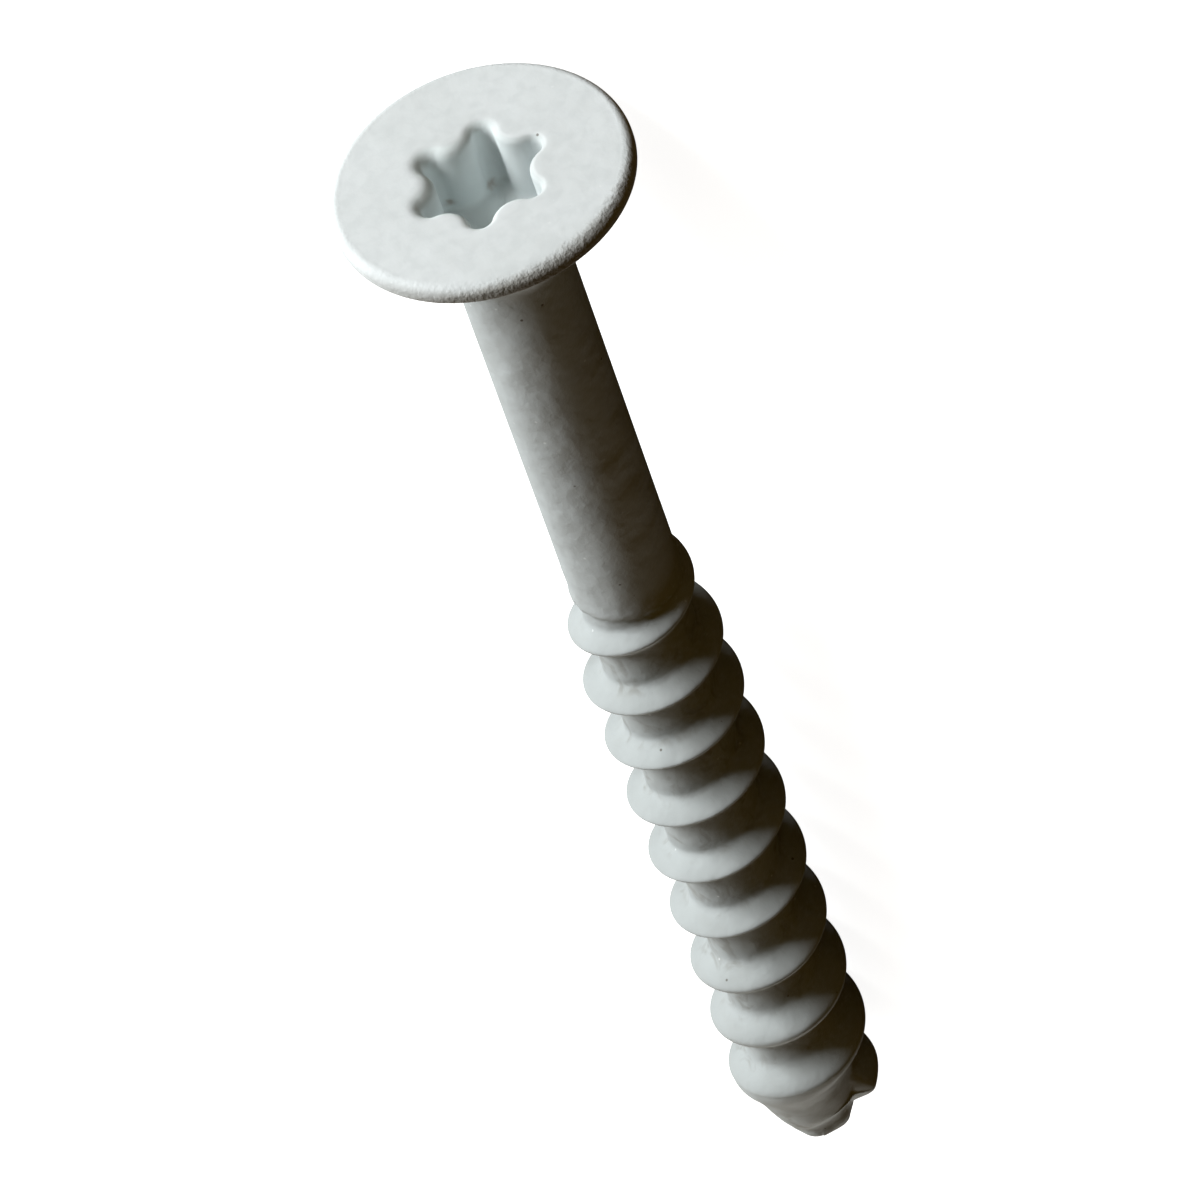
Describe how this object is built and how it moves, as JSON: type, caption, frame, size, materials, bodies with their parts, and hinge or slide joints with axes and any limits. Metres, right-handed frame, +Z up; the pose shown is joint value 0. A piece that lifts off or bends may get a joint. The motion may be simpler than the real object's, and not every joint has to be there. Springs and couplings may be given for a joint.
{
  "type": "concrete screw",
  "caption": "Countersunk concrete screw with a six-lobe drive recess, plain shank and coarse ridge thread to a blunt point; cuts its own thread in a drilled hole.",
  "frame": {"origin": "centre of the bottom of the bounding box, on the ground that the screw lies on", "axes": "+X along the screw from the head to the point, +Z up; the screw's own axis dips 3.03 degrees towards the point"},
  "size_m": [0.0638, 0.0126, 0.0126],
  "materials": {
    "pale_coating": "satin pale grey corrosion coating over steel"
  },
  "bodies": {
    "root": {"concrete_screw": "pale_coating"}
  },
  "joints": []
}
